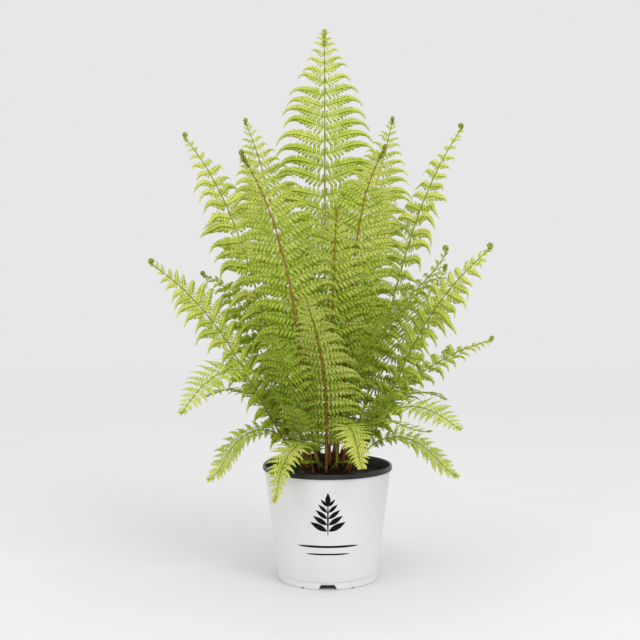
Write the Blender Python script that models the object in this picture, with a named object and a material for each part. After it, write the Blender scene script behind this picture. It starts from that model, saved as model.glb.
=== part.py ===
"""A fern in a round nursery pot.

The pot stands on its foot ring with the ring's centre at the origin, +Z up and -Y to the front.
The plant is a short crown on the potting mix, with one solid for each frond: a square midrib, with
a thin lance-shaped side leaf (pinna) growing out of each side of it at every node.
"""

import math
from collections import namedtuple

import bmesh
import bpy
import numpy as np
from mathutils.bvhtree import BVHTree

MM = 0.001
TOUCH_GAP = 0.3 * MM
TURN = 2 * math.pi

# Pot
POT_HEIGHT = 243 * MM
RIM_RADIUS = 138 * MM
LIP_HEIGHT = 10.5 * MM
LIP_OVERHANG = 4 * MM
LIP_ROUND = 3 * MM
LIP_EDGE = 1 * MM
LIP_EDGE_HEIGHT = 1.5 * MM
WALL_TOP_RADIUS = RIM_RADIUS - LIP_OVERHANG
WALL_BOTTOM_RADIUS = 108.4 * MM
WALL = 2 * MM
FOOT_HEIGHT = 15.5 * MM
FOOT_STEP = 1.6 * MM
FOOT_WIDTH = 4 * MM
FOOT_ROUND = 2 * MM
FOOT_EDGE = 1 * MM
FOOT_DRAFT = 0.5 * MM
STEP_LOW = 0.5 * MM
STEP_HIGH = 0.8 * MM
FLOOR_CORNER = 2 * MM
FLOOR_BOTTOM = 10.5 * MM
POT_STEPS = 40
NOTCHES = 3
NOTCH_HEIGHT = 9.5 * MM
NOTCH_BOTTOM_WIDTH = 40 * MM
NOTCH_TOP_WIDTH = 28 * MM
SLOT_OFFSET_DEG = 29
SLOT_WIDTH = 6 * MM
SLOT_HEIGHT = 3 * MM
CUTTER_REACH = 6 * MM
CUTTER_BELOW = 2 * MM
FLOOR_HOLES = 6
FLOOR_HOLE_RADIUS = 7 * MM
FLOOR_HOLE_CIRCLE = 68 * MM
FLOOR_HOLE_FIRST_DEG = 20
FLOOR_HOLE_STEPS = 16
FLOOR_HOLE_REACH = (-4 * MM, 6 * MM)
FRONT_DEG = 270

# Potting mix and crown
SOIL_TOP = 221 * MM
SOIL_STEPS = 36
SOIL_CORNER_GAP = 1 * MM
SOIL_EDGE_DROP = 3 * MM
SOIL_EDGE_WIDTH = 12 * MM
SOIL_SHOULDER_DROP = 1 * MM
CROWN_RADIUS = 60 * MM
CROWN_HEIGHT = 20 * MM
CROWN_STEPS = 24
CROWN_RINGS_DEG = (12, 28.5, 45, 61.5, 78)
CROWN_RIM = 1 * MM
STUB_LENGTH = 44 * MM
STUB_RADIUS = 5 * MM
STUB_ROOT = 8 * MM
STUB_SIDES = 8
STUB_WAIST = (0.8, 0.6)
STUB_END = 0.5

# Each broken stub, with angles in degrees: its direction and distance in mm from the pot's axis,
# its lean from the vertical and its length as a share of STUB_LENGTH
Stub = namedtuple("Stub", "direction distance lean share")
STUBS = (
    Stub(14, 22, 22, 1.0),
    Stub(338, 20, 26, 0.8),
    Stub(25, 8, 12, 0.62),
    Stub(200, 22, 20, 0.55),
    Stub(120, 24, 22, 0.5),
)

# Fronds
STALK_LIFT = 1.2 * MM
MIDRIB_HALF = 2.4 * MM
MIDRIB_TIP_HALF = 0.6 * MM
MIDRIB_TAPER = 0.8
MIDRIB_STEPS = 240
FULL_FROND = 0.9
STALK_RINGS = 4
LAST_NODE = 0.985
NODE_CROWDING = 0.35
PINNA_THICKNESS = 0.8 * MM
PINNA_WIDTH_SHARE = 0.68
PINNA_SLENDER = 0.3
PINNA_MIDDLE = 0.5
PINNA_ANGLE_DEG = 72
PINNA_FAN_DEG = 12
PINNA_LIFT = 0.12
PINNA_STEPS = 20
BLADE_WIDEST = 0.42
BLADE_NARROWING = 0.5
BLADE_BASE_POWER = 1.5
BLADE_TIP_POWER = 1.25
BLADE_CURLED_TIP_POWER = 1.5
CURL_STEPS = 7
CURL_TURNS = 1.15
CURL_RADIUS = 6 * MM
CURL_END_RADIUS = 2.4 * MM
CURL_HALF = 0.9 * MM
CURL_SWELL = 0.5 * MM
FULL_CURL_FROND = 0.5
NEIGHBOUR_GAP = 1.2 * MM
SHORTER = (1.0, 0.85, 0.7, 0.55, 0.4, 0.28)

# Each frond, with lengths in mm and angles in degrees:
# root     distance from the pot's axis and direction of the stalk's foot on the crown
# azimuth  direction that the frond leans to (0 is +X, 90 is +Y)
# sway     how far that direction has turned at the tip
# leans    angle from the vertical at the foot, at one third, at two thirds and at the tip
# half     length of the longest pinna
# roll     turn of the blade about its midrib
# droop    how strongly the pinnae hang at their tips
Frond = namedtuple("Frond", "name root azimuth sway leans length stalk half pairs roll droop curled")
FRONDS = (
    Frond("back_centre", (16, 95), 95, -3, (4, 6, 3, 6), 945, 185, 122, 18, 0, 1.9, False),
    Frond("centre", (22, 280), 276, 0, (10, 7, 17, 25), 550, 80, 100, 14, 0, 1.7, True),
    Frond("front_centre", (53, 267), 263, -20, (3, 7, 28, 32), 400, 62, 76, 12, 0, 1.2, False),
    Frond("mid_left", (30, 230), 234, -8, (18, 12, 20, 44), 685, 100, 112, 15, -30, 1.7, True),
    Frond("mid_right", (30, 312), 308, 7, (2, 8, 9, 43), 680, 100, 115, 15, 30, 1.7, True),
    Frond("left_outer", (46, 196), 198, 0, (44, 29, 37, 57), 550, 80, 98, 13, 40, 1.6, True),
    Frond("right_outer", (46, 348), 343, 0, (45, 23, 33, 50), 560, 80, 94, 13, -40, 1.6, True),
    Frond("left_upright", (36, 176), 174, 0, (21, 16, 20, 41), 760, 115, 95, 15, 40, 1.7, True),
    Frond("right_upright", (38, 3), 6, 0, (19, 15, 18, 36), 770, 130, 84, 15, -25, 1.8, True),
    Frond("back_left_tall", (26, 135), 132, 7, (20, 14, 15, 32), 795, 130, 105, 15, 25, 1.7, True),
    Frond("back_right_tall", (25, 50), 52, -1, (16, 10, 20, 21), 795, 130, 105, 15, -25, 1.7, True),
    Frond("right_middle", (36, 328), 322, 4, (13, 17, 46, 29), 540, 85, 80, 12, 0, 1.5, True),
    Frond("left_inner", (34, 156), 158, 2, (21, 28, 27, 78), 495, 75, 72, 11, 30, 1.5, True),
    Frond("right_inner", (36, 28), 24, 2, (22, 29, 36, 35), 500, 75, 76, 11, -30, 1.5, True),
    Frond("left_middle", (42, 226), 228, 5, (41, 16, 25, 50), 325, 45, 66, 10, -20, 1.4, False),
    Frond("right_side", (48, 14), 8, 1, (33, 38, 58, 76), 430, 70, 56, 11, -20, 1.5, True),
    Frond("left_low", (46, 212), 210, 28, (42, 31, 93, 129), 485, 85, 56, 11, 20, 0.7, False),
    Frond("right_low", (50, 332), 326, -20, (33, 45, 91, 111), 370, 60, 50, 11, -20, 0.7, False),
    Frond("left_lowest", (52, 184), 186, 14, (33, 61, 138, 115), 290, 65, 50, 10, 20, 0.6, False),
    Frond("right_lowest", (55, 359), 356, -8, (30, 69, 127, 113), 280, 65, 50, 10, -20, 0.6, False),
    Frond("front_left_droop", (42, 248), 246, -25, (31, 69, 143, 158), 250, 50, 50, 10, 0, 0.5, False),
    Frond("front_right_droop", (40, 298), 290, -4, (7, 41, 122, 131), 255, 65, 48, 10, 0, 0.5, False),
    Frond("right_slender", (53, 314), 312, -2, (34, 44, 95, 69), 305, 65, 32, 9, 0, 0.6, False),
    Frond("rear_left", (40, 112), 114, 0, (17, 21, 32, 46), 560, 65, 92, 12, 0, 1.5, False),
    Frond("rear_right", (40, 74), 68, 0, (18, 22, 34, 48), 535, 65, 90, 12, 0, 1.5, False),
    Frond("rear_low_left", (50, 144), 142, 0, (32, 48, 82, 114), 370, 48, 60, 11, 0, 0.9, False),
    Frond("rear_low_right", (50, 44), 38, 0, (32, 50, 84, 114), 370, 48, 60, 11, 0, 0.9, False),
    Frond("rear_low", (52, 92), 90, 0, (34, 54, 92, 126), 268, 42, 56, 11, 0, 0.8, False),
    Frond("young_left", (55, 238), 240, 0, (18, 24, 44, 74), 200, 45, 40, 9, 0, 0.9, False),
    Frond("young_right", (54, 324), 320, 0, (24, 26, 38, 64), 225, 45, 50, 9, 0, 0.9, False),
    Frond("young_far_left", (50, 168), 170, 0, (28, 30, 40, 62), 260, 55, 54, 9, 15, 0.9, False),
    Frond("young_far_right", (50, 22), 14, 0, (28, 30, 42, 62), 260, 55, 54, 9, -15, 0.9, False),
    Frond("sprout_left", (44, 262), 232, 0, (30, 62, 80, 100), 75, 22, 22, 6, 0, 0.4, False),
    Frond("sprout_right", (44, 280), 312, 0, (32, 60, 80, 96), 70, 22, 20, 6, 0, 0.4, False),
)


def clear_scene():
    for thing in list(bpy.data.objects):
        bpy.data.objects.remove(thing, do_unlink=True)


def new_material(name, colour, roughness):
    material = bpy.data.materials.new(name)
    material.use_nodes = True
    shader = material.node_tree.nodes["Principled BSDF"]
    shader.inputs["Base Color"].default_value = (*colour, 1)
    shader.inputs["Roughness"].default_value = roughness
    shader.inputs["Metallic"].default_value = 0
    return material


def new_object(name, points, faces, material, smooth_deg=40):
    """One mesh object from points in metres, its faces turned outward."""
    mesh = bpy.data.meshes.new(name)
    mesh.from_pydata([tuple(point) for point in points], [], faces)
    shape = bmesh.new()
    shape.from_mesh(mesh)
    bmesh.ops.recalc_face_normals(shape, faces=shape.faces)
    shape.to_mesh(mesh)
    shape.free()
    mesh.shade_smooth()
    mesh.set_sharp_from_angle(angle=math.radians(smooth_deg))
    mesh.materials.append(material)
    thing = bpy.data.objects.new(name, mesh)
    bpy.context.scene.collection.objects.link(thing)
    return thing


def turned(outline, steps):
    """Points and faces of an outline of (radius, height) turned about Z; it may end on the axis."""
    points = []
    rings = []
    for radius, height in outline:
        if radius == 0:
            rings.append([len(points)] * steps)
            points.append((0, 0, height))
            continue
        rings.append(list(range(len(points), len(points) + steps)))
        for step in range(steps):
            angle = TURN * step / steps
            points.append((radius * math.cos(angle), radius * math.sin(angle), height))
    faces = []
    pairs = list(zip(rings, rings[1:]))
    if outline[0][0] or outline[-1][0]:
        pairs.append((rings[-1], rings[0]))
    for low, high in pairs:
        for step in range(steps):
            after = (step + 1) % steps
            corners = [low[step], low[after], high[after], high[step]]
            faces.append(list(dict.fromkeys(corners)))
    return points, faces


def arc(centre, radius, start_deg, end_deg, steps):
    """Points of an arc in the (radius, height) plane, both ends included."""
    angles = np.radians(np.linspace(start_deg, end_deg, steps + 1))
    return [(centre[0] + radius * math.cos(a), centre[1] + radius * math.sin(a)) for a in angles]


def wall_radius(height):
    """Outer radius of the pot's tapering wall at a height."""
    share = (height - FOOT_HEIGHT) / (POT_HEIGHT - LIP_HEIGHT - FOOT_HEIGHT)
    return WALL_BOTTOM_RADIUS + share * (WALL_TOP_RADIUS - WALL_BOTTOM_RADIUS)


def inner_radius(height):
    return wall_radius(height) - WALL


def foot_radius():
    return wall_radius(FOOT_HEIGHT) - FOOT_STEP


def pot_outline():
    """The pot's cross-section, from the floor's underside out, up and back down the inside."""
    foot = foot_radius()
    lip_bottom = POT_HEIGHT - LIP_HEIGHT
    inside_top = POT_HEIGHT - LIP_ROUND
    floor_top = FLOOR_BOTTOM + WALL
    ring_inside = foot - FOOT_WIDTH - FOOT_EDGE
    outline = [(0, FLOOR_BOTTOM), (ring_inside - FOOT_DRAFT, FLOOR_BOTTOM)]
    outline += [(ring_inside, 0), (foot - FOOT_ROUND, 0)]
    outline += arc((foot - FOOT_ROUND, FOOT_ROUND), FOOT_ROUND, -60, 0, 2)
    outline += [(foot, FOOT_HEIGHT - STEP_LOW), (wall_radius(FOOT_HEIGHT), FOOT_HEIGHT + STEP_HIGH)]
    outline += [(WALL_TOP_RADIUS, lip_bottom), (RIM_RADIUS - LIP_EDGE, lip_bottom)]
    outline += [(RIM_RADIUS, lip_bottom + LIP_EDGE_HEIGHT)]
    outline += arc((RIM_RADIUS - LIP_ROUND, inside_top), LIP_ROUND, 0, 90, 3)
    outline += arc((inner_radius(inside_top) + LIP_ROUND, inside_top), LIP_ROUND, 100, 180, 2)
    outline += [(inner_radius(lip_bottom), lip_bottom)]
    outline += [(inner_radius(floor_top) - FLOOR_CORNER, floor_top), (0, floor_top)]
    return outline


def cutter(name, points, faces):
    thing = new_object(name, points, faces, MATERIALS["pot_inside"])
    thing.hide_render = True
    thing.display_type = "WIRE"
    return thing


def radial_cutter(name, angle_deg, inner, outer, bottom_width, top_width, height):
    """A block through the foot ring, wider at the ground than at its top."""
    points = []
    for radius in (inner, outer):
        for width, z in ((bottom_width, -CUTTER_BELOW), (top_width, height)):
            points += [(radius, -width / 2, z), (radius, width / 2, z)]
    faces = [(0, 1, 3, 2), (4, 6, 7, 5), (0, 4, 5, 1), (2, 3, 7, 6), (0, 2, 6, 4), (1, 5, 7, 3)]
    thing = cutter(name, points, faces)
    thing.rotation_euler = (0, 0, math.radians(angle_deg))
    return thing


def hole_cutter(name, angle_deg):
    """An upright round plug through the pot's floor."""
    low, high = (FLOOR_BOTTOM + reach for reach in FLOOR_HOLE_REACH)
    outline = [(0, low), (FLOOR_HOLE_RADIUS, low), (FLOOR_HOLE_RADIUS, high), (0, high)]
    thing = cutter(name, *turned(outline, FLOOR_HOLE_STEPS))
    angle = math.radians(angle_deg)
    thing.location = (FLOOR_HOLE_CIRCLE * math.cos(angle), FLOOR_HOLE_CIRCLE * math.sin(angle), 0)
    return thing


def boolean(thing, other, operation):
    step = thing.modifiers.new(other.name, "BOOLEAN")
    step.operation = operation
    step.solver = "EXACT"
    step.object = other


def make_pot():
    """The pot, with drainage notches and small slots in its foot and holes in its floor."""
    pot = new_object("pot", *turned(pot_outline(), POT_STEPS), MATERIALS["pot"])
    reach = (foot_radius() - FOOT_WIDTH - CUTTER_REACH, foot_radius() + CUTTER_REACH)
    for index in range(NOTCHES):
        angle = FRONT_DEG + 360 / NOTCHES * index
        sizes = (NOTCH_BOTTOM_WIDTH, NOTCH_TOP_WIDTH, NOTCH_HEIGHT)
        boolean(pot, radial_cutter(f"notch_{index}", angle, *reach, *sizes), "DIFFERENCE")
        for side in (-1, 1):
            slot = radial_cutter(
                f"slot_{index}_{side + 1}",
                angle + side * SLOT_OFFSET_DEG,
                *reach,
                SLOT_WIDTH,
                SLOT_WIDTH,
                SLOT_HEIGHT,
            )
            boolean(pot, slot, "DIFFERENCE")
    for index in range(FLOOR_HOLES):
        angle = FLOOR_HOLE_FIRST_DEG + 360 / FLOOR_HOLES * index
        boolean(pot, hole_cutter(f"floor_hole_{index}", angle), "DIFFERENCE")
    return pot


def make_potting_mix():
    """The filling, which follows the pot's inner wall and ends below the rim."""
    bottom = FLOOR_BOTTOM + WALL + TOUCH_GAP
    edge = SOIL_TOP - SOIL_EDGE_DROP
    low = inner_radius(bottom) - FLOOR_CORNER - SOIL_CORNER_GAP
    outline = [(0, bottom), (low, bottom), (inner_radius(edge) - 2 * TOUCH_GAP, edge)]
    outline += [(inner_radius(edge) - SOIL_EDGE_WIDTH, SOIL_TOP - SOIL_SHOULDER_DROP)]
    outline += [(CROWN_RADIUS, SOIL_TOP), (0, SOIL_TOP)]
    return new_object("potting_mix", *turned(outline, SOIL_STEPS), MATERIALS["soil"])


def crown_height(distance):
    """Height of the crown's domed top at a distance from the axis."""
    return SOIL_TOP + CROWN_HEIGHT * math.sqrt(max(0.0, 1 - (distance / CROWN_RADIUS) ** 2))


def make_crown():
    """The domed rootstock, joined with the broken stubs of old stalks."""
    base = SOIL_TOP + TOUCH_GAP
    outline = [(0, base), (CROWN_RADIUS, base)]
    for angle in CROWN_RINGS_DEG:
        radius = CROWN_RADIUS * math.cos(math.radians(angle))
        outline.append((radius, max(base + CROWN_RIM, crown_height(radius))))
    outline.append((0, crown_height(0)))
    crown = new_object("crown", *turned(outline, CROWN_STEPS), MATERIALS["crown"])
    for index, stub in enumerate(STUBS):
        length = STUB_LENGTH * stub.share
        waist_radius, waist_height = STUB_WAIST[0] * STUB_RADIUS, STUB_WAIST[1] * length
        outline = [(0, -STUB_ROOT), (STUB_RADIUS, -STUB_ROOT), (waist_radius, waist_height)]
        outline += [(STUB_END * STUB_RADIUS, length), (0, length)]
        joined = cutter(f"stub_{index}", *turned(outline, STUB_SIDES))
        angle = math.radians(stub.direction)
        radius = stub.distance * MM
        joined.location = (radius * math.cos(angle), radius * math.sin(angle), crown_height(radius))
        joined.rotation_euler = (0, math.radians(stub.lean), angle)
        boolean(crown, joined, "UNION")
    return crown


def lean_at(leans, s):
    """The lean in degrees at share s of the length: a cubic through the four leans."""
    foot, third, two_thirds, tip = leans
    return (
        foot * -4.5 * (s - 1 / 3) * (s - 2 / 3) * (s - 1)
        + third * 13.5 * s * (s - 2 / 3) * (s - 1)
        + two_thirds * -13.5 * s * (s - 1 / 3) * (s - 1)
        + tip * 4.5 * s * (s - 1 / 3) * (s - 2 / 3)
    )


def frame_at(frond, s):
    """Unit vectors along the midrib, across the blade and out of its upper face at share s."""
    lean = np.radians(lean_at(frond.leans, s))
    azimuth = np.radians(frond.azimuth + frond.sway * s)
    along = np.stack([np.sin(lean) * np.cos(azimuth), np.sin(lean) * np.sin(azimuth), np.cos(lean)], -1)
    flat = np.stack([-np.sin(azimuth), np.cos(azimuth), np.zeros_like(azimuth)], -1)
    upper = np.cross(along, flat)
    roll = math.radians(frond.roll)
    across = math.cos(roll) * flat - math.sin(roll) * upper
    return along, across, math.cos(roll) * upper + math.sin(roll) * flat


def foot_of(frond):
    radius = frond.root[0] * MM
    angle = math.radians(frond.root[1])
    return np.array([radius * math.cos(angle), radius * math.sin(angle), crown_height(radius) + STALK_LIFT])


def midrib_points(frond, shares):
    """Points of the midrib at the given shares of its length."""
    fine = np.linspace(0, 1, MIDRIB_STEPS + 1)
    along, _, _ = frame_at(frond, (fine[1:] + fine[:-1]) / 2)
    steps = along * (frond.length * MM / MIDRIB_STEPS)
    path = np.vstack([foot_of(frond), foot_of(frond) + np.cumsum(steps, axis=0)])
    return np.stack([np.interp(shares, fine, path[:, axis]) for axis in range(3)], -1)


def pinna_length(frond, blade_share):
    """Length of a pinna at a share of the blade's length from its lowest pinna."""
    from_tip = 1 - blade_share
    power = BLADE_CURLED_TIP_POWER if frond.curled else BLADE_TIP_POWER
    if from_tip < BLADE_WIDEST:
        return frond.half * MM * math.sin(math.pi / 2 * from_tip / BLADE_WIDEST) ** power
    below = (from_tip - BLADE_WIDEST) / (1 - BLADE_WIDEST)
    return frond.half * MM * (1 - BLADE_NARROWING * below**BLADE_BASE_POWER)


def pinna_shares(frond):
    """Shares of the whole length where the pairs of pinnae grow, closer together towards the tip."""
    blade_start = frond.stalk / frond.length
    even = (np.arange(frond.pairs) + 0.5) / frond.pairs
    closer = (1 + NODE_CROWDING) * even - NODE_CROWDING * even**2
    return blade_start + (LAST_NODE - blade_start) * closer


def pinna_direction(frond, share, side, blade_share):
    along, across, upper = frame_at(frond, np.array([share]))
    angle = math.radians(PINNA_ANGLE_DEG + PINNA_FAN_DEG * (0.5 - blade_share))
    outward = side * math.sin(angle) * across[0] + math.cos(angle) * along[0]
    return outward + PINNA_LIFT * upper[0]


def pinna_path(frond, start, outward, length, shares):
    """Points of a pinna's own rib, whose direction turns down more and more to its tip."""
    fine = np.linspace(0, 1, PINNA_STEPS + 1)
    middles = (fine[1:] + fine[:-1]) / 2
    heading = outward - np.outer(frond.droop * middles**3, (0, 0, 1))
    heading /= np.linalg.norm(heading, axis=1)[:, None]
    path = np.vstack([start, start + np.cumsum(heading * length / PINNA_STEPS, axis=0)])
    return np.stack([np.interp(shares, fine, path[:, axis]) for axis in range(3)], -1)


def midrib_half(frond, share):
    size = math.sqrt(frond.length * MM / FULL_FROND)
    return MIDRIB_TIP_HALF + (MIDRIB_HALF * size - MIDRIB_TIP_HALF) * (1 - share) ** MIDRIB_TAPER


def ring(centre, across, upper, half):
    return [centre + half * (a * across + b * upper) for a, b in ((1, -1), (1, 1), (-1, 1), (-1, -1))]


def curl_rings(frond, end):
    """Rings of the coiled tip, which turns in towards the blade's upper face."""
    along, across, upper = (vector[0] for vector in frame_at(frond, np.array([1.0])))
    size = min(1.0, frond.length * MM / FULL_CURL_FROND)
    centre = end
    rings = []
    step_turn = TURN * CURL_TURNS / CURL_STEPS
    for step in range(CURL_STEPS):
        turn = step_turn * (step + 1)
        share = (step + 0.5) / CURL_STEPS
        radius = size * (CURL_RADIUS + share * (CURL_END_RADIUS - CURL_RADIUS))
        middle = turn - step_turn / 2
        centre = centre + radius * step_turn * (math.cos(middle) * along + math.sin(middle) * upper)
        normal = math.cos(turn) * upper - math.sin(turn) * along
        rings.append(ring(centre, across, normal, size * (CURL_HALF + share * CURL_SWELL)))
    return rings


def stations(frond):
    """Shares of the length where the midrib has rings, and the pinnae's node above each that has one."""
    nodes = pinna_shares(frond)
    joints = list((nodes[1:] + nodes[:-1]) / 2)
    joints = [1.5 * nodes[0] - 0.5 * nodes[1]] + joints + [1.5 * nodes[-1] - 0.5 * nodes[-2]]
    stalk = list(np.linspace(0, joints[0], STALK_RINGS))
    bearing = {STALK_RINGS - 1 + index: node for index, node in enumerate(nodes)}
    return np.array(stalk + joints[1:] + [1.0]), bearing


def midrib_mesh(frond):
    """Points and quads of the bare midrib, with the side quads that will bear pinnae listed apart."""
    shares, bearing = stations(frond)
    centres = midrib_points(frond, shares)
    _, across, upper = frame_at(frond, shares)
    points = []
    for index, share in enumerate(shares):
        points += ring(centres[index], across[index], upper[index], midrib_half(frond, share))
    if frond.curled:
        for corners in curl_rings(frond, centres[-1]):
            points += corners
    rings = len(points) // 4
    faces = [(3, 2, 1, 0), tuple(4 * (rings - 1) + corner for corner in range(4))]
    sockets = []
    for low in range(rings - 1):
        for side in range(4):
            after = (side + 1) % 4
            quad = (4 * low + side, 4 * low + after, 4 * low + 4 + after, 4 * low + 4 + side)
            if low in bearing and side in (0, 2):
                sockets.append((bearing[low], 1 if side == 0 else -1, quad))
            else:
                faces.append(quad)
    return points, faces, sockets


def pinna_mesh(frond, points, socket, gap, scale, swell):
    """Points of a pinna's middle section and tip, grown out of one side quad of the midrib."""
    share, side, quad = socket
    blade_start = frond.stalk / frond.length
    blade_share = (share - blade_start) / (1 - blade_start)
    length = pinna_length(frond, blade_share) * scale
    start = sum(points[corner] for corner in quad) / 4
    outward = pinna_direction(frond, share, side, blade_share)
    middle, tip = pinna_path(frond, start, outward, length, [PINNA_MIDDLE, 1.0])
    along = frame_at(frond, np.array([share]))[0][0]
    heading = (middle - start) / np.linalg.norm(middle - start)
    broad = along - (along @ heading) * heading
    broad /= np.linalg.norm(broad)
    thin = np.cross(heading, broad)
    if (points[quad[1]] - points[quad[0]]) @ thin < 0:
        thin = -thin
    width = min(gap * PINNA_WIDTH_SHARE, PINNA_SLENDER * length) / 2 + swell
    depth = PINNA_THICKNESS / 2 + swell
    corners = ((-1, -1), (-1, 1), (1, 1), (1, -1))
    section = [middle + width * a * broad + depth * b * thin for a, b in corners]
    return section + [tip]


def pinna_faces(quad, first):
    """Quads from a side quad to the section at first, and triangles on to the tip after it."""
    section = [first + corner for corner in range(4)]
    faces = []
    for corner in range(4):
        after = (corner + 1) % 4
        faces.append((quad[corner], quad[after], section[after], section[corner]))
        faces.append((section[corner], section[after], first + 4))
    return faces


def tree_of(meshes):
    points = []
    faces = []
    for mesh_points, mesh_faces in meshes:
        first = len(points)
        points += [tuple(point) for point in mesh_points]
        faces += [tuple(first + corner for corner in face) for face in mesh_faces]
    return BVHTree.FromPolygons(points, faces)


def grow_fronds(obstacles):
    """Every frond's mesh. A pinna that would meet a neighbour is grown shorter, or left out."""
    ribs = {frond.name: midrib_mesh(frond) for frond in FRONDS}
    bare = {}
    for name, (points, faces, sockets) in ribs.items():
        bare[name] = (list(points), faces + [socket[2] for socket in sockets])
    grown = []
    for frond in FRONDS:
        points, faces, sockets = ribs[frond.name]
        others = [rib for name, rib in bare.items() if name != frond.name]
        tree = tree_of(obstacles + others + grown)
        for socket in sockets:
            quad = socket[2]
            gap = np.linalg.norm(points[quad[0]] - points[quad[3]])
            for scale in SHORTER:
                wide = pinna_mesh(frond, points, socket, gap, scale, NEIGHBOUR_GAP)
                corners = [points[corner] for corner in quad]
                trial = tree_of([(corners + wide, pinna_faces((0, 1, 2, 3), 4))])
                if not tree.overlap(trial):
                    break
            else:
                faces.append(quad)
                continue
            first = len(points)
            points += pinna_mesh(frond, points, socket, gap, scale, 0.0)
            faces += pinna_faces(quad, first)
        grown.append((points, faces))
    return grown


def solid_mesh(thing):
    """The points and faces of an object with its modifiers, in world space."""
    evaluated = thing.evaluated_get(bpy.context.evaluated_depsgraph_get())
    mesh = evaluated.to_mesh()
    points = [tuple(evaluated.matrix_world @ vertex.co) for vertex in mesh.vertices]
    faces = [tuple(polygon.vertices) for polygon in mesh.polygons]
    evaluated.to_mesh_clear()
    return points, faces


def make_fronds(holders):
    bpy.context.view_layer.update()
    obstacles = [solid_mesh(holder) for holder in holders]
    for frond, (points, faces) in zip(FRONDS, grow_fronds(obstacles)):
        new_object(frond.name, points, faces, MATERIALS["frond"], smooth_deg=30)


def main():
    pot = make_pot()
    mix = make_potting_mix()
    crown = make_crown()
    make_fronds([pot, mix, crown])


clear_scene()
MATERIALS = {
    "pot": new_material("pot_white", (0.82, 0.82, 0.82), 0.42),
    "pot_inside": new_material("pot_black", (0.03, 0.03, 0.03), 0.5),
    "soil": new_material("potting_mix", (0.035, 0.022, 0.014), 0.95),
    "crown": new_material("crown_brown", (0.09, 0.045, 0.02), 0.85),
    "frond": new_material("frond_green", (0.32, 0.52, 0.06), 0.5),
}
main()
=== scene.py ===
"""Looks of a potted fern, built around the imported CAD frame.

Metres, +Z up, -Y to the front. Every frond is one mesh that stands for its CAD node: a grooved stalk
and midrib, winged side ribs, and a closed blade for each leaflet. The pot, the potting mix and the
crown are finer meshes on their CAD sizes.

A frond's side leaf is a pinna, its rib a costa, and each of its leaflets a pinnule.
"""

from collections import namedtuple
from itertools import combinations
from math import cos, hypot, pi, radians, sin, sqrt

import bpy
import numpy as np
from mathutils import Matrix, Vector, noise


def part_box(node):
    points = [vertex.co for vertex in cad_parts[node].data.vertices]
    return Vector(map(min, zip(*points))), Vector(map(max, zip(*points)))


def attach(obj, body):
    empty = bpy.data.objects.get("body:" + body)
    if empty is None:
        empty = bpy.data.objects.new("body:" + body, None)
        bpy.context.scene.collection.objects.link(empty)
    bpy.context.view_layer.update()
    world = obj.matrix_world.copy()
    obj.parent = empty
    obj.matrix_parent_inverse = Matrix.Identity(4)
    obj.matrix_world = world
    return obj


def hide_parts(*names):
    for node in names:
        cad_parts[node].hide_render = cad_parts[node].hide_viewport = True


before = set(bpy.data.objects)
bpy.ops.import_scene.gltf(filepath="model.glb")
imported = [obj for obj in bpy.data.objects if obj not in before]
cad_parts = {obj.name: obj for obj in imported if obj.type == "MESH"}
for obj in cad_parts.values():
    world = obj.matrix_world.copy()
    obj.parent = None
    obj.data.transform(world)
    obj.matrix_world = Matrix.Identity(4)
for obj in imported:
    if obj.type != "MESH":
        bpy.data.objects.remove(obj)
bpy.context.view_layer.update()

MM = 0.001
TURN = 2 * pi
SEED = 20

# Pot, from the frame's box and the CAD source's wall sizes
_, POT_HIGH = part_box("pot")
POT_HEIGHT = POT_HIGH.z
RIM_RADIUS = POT_HIGH.x
LIP_HEIGHT = 10.5 * MM
LIP_BOTTOM = POT_HEIGHT - LIP_HEIGHT
LIP_ROUND = 3 * MM
LIP_UNDER_ROUND = 1.4 * MM
WALL_TOP_RADIUS = RIM_RADIUS - 4 * MM
WALL_BOTTOM_RADIUS = 108.4 * MM
WALL = 2 * MM
FOOT_HEIGHT = 15.5 * MM
FOOT_RADIUS = WALL_BOTTOM_RADIUS - 1.6 * MM
FOOT_WIDTH = 4 * MM
FOOT_INNER_ROUND = 1.5 * MM
FOOT_OUTER_ROUND = 2 * MM
STEP_ROUND = 0.8 * MM
FLOOR_BOTTOM = 10.5 * MM
FLOOR_TOP = FLOOR_BOTTOM + WALL
FLOOR_ROUND = 3 * MM
POT_STEPS = 160
POT_SHARP_DEG = 32
NOTCHES = 3
NOTCH_HEIGHT = 9.5 * MM
NOTCH_WIDTHS = (40 * MM, 28 * MM)
NOTCH_CHAMFER = 3 * MM
SLOT_OFFSET_DEG = 29
SLOT_WIDTH = 6 * MM
SLOT_HEIGHT = 3 * MM
CUT_PAST = 6 * MM
FLOOR_HOLES = 6
FLOOR_HOLE_RADIUS = 7 * MM
FLOOR_HOLE_CIRCLE = 68 * MM
FLOOR_HOLE_FIRST_DEG = 20
FRONT_DEG = 270

# Print on the pot: a sprig of leaves over two rules of (height, width, thickness)
PRINT_LIFT = 0.12 * MM
PRINT_SINK = 0.25 * MM
SPRIG_FOOT = 118 * MM
SPRIG_HEIGHT = 84 * MM
SPRIG_PAIRS = 5
LEAF_STEPS = 12
RULE_STEPS = 24
RULES = ((92 * MM, 132 * MM, 4.6 * MM), (76 * MM, 92 * MM, 3.4 * MM))

# Potting mix, whose top has swells and lumps of (height, noise scale)
SOIL_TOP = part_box("potting_mix")[1].z
SOIL_EDGE_DROP = 3 * MM
SOIL_RINGS = 34
SOIL_STEPS = 120
SOIL_SWELL = (2.2 * MM, 60)
SOIL_LUMP = (1.0 * MM, 240)
CRUMBS = 1500
CRUMB_SIZES = (0.9, 2.6)
CRUMB_STRETCHES = ((0.8, 2.2), (0.7, 1.2), (0.4, 0.8))
CRUMB_ROUGHNESS = 0.28

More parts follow.
